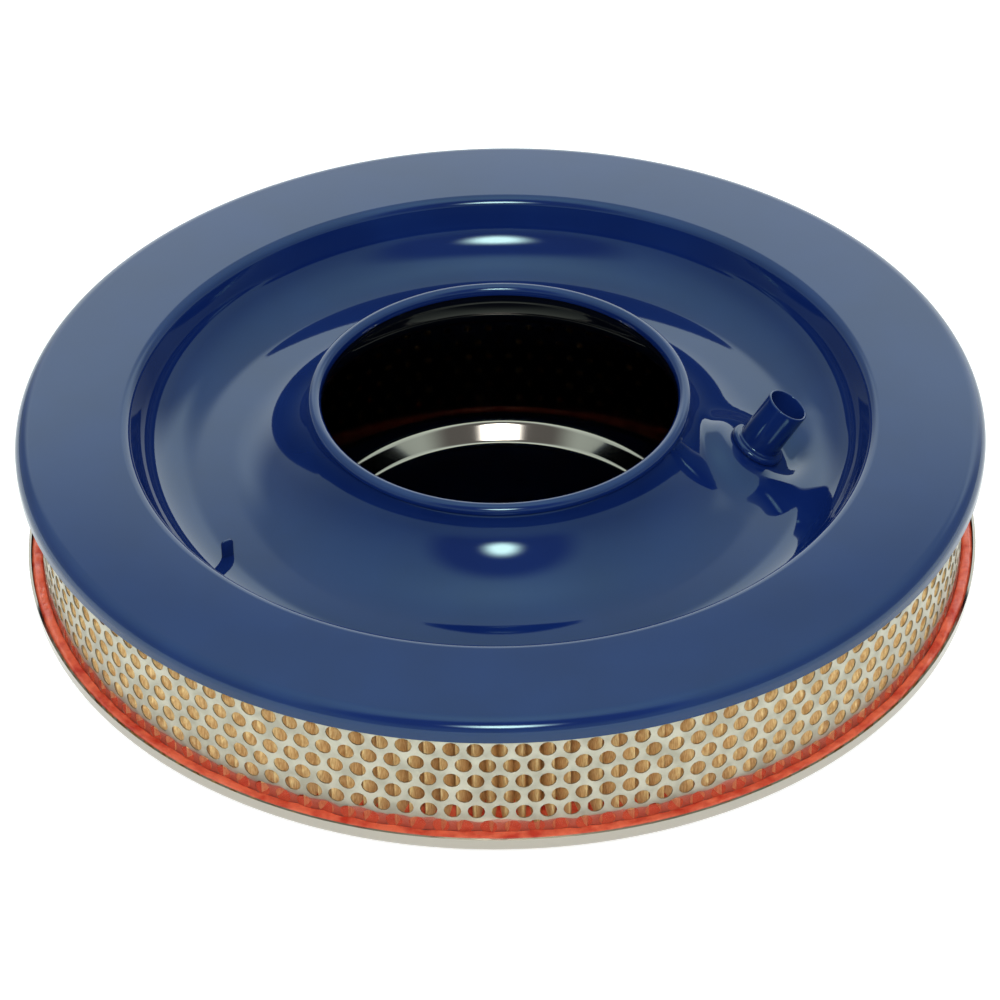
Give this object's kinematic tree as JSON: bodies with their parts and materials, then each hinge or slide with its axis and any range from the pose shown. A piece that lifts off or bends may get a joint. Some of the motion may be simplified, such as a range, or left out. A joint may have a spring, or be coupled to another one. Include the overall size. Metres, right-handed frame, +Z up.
{
  "type": "carburetor air cleaner",
  "caption": "Round air cleaner with a pressed base, central neck, side vent tube, pleated element behind a punched screen, and a plated lid.",
  "frame": {"origin": "middle of the object's box, on its lowest face, the outside of the lid's plateau", "axes": "+Z up through the neck, +X towards the vent tube; the object lies on its lid as in the picture"},
  "size_m": [0.3556, 0.3556, 0.0752],
  "materials": {
    "enamel": "gloss blue enamel",
    "plating": "polished plating",
    "screen_metal": "plain punched sheet",
    "filter_paper": "matte",
    "seal": "smooth moulded"
  },
  "bodies": {
    "root": {"base_pan": "enamel", "vent_tube": "enamel", "lid": "plating", "outer_screen": "screen_metal", "inner_screen": "screen_metal", "pleated_paper": "filter_paper", "lower_seal": "seal", "upper_seal": "seal"}
  },
  "joints": []
}
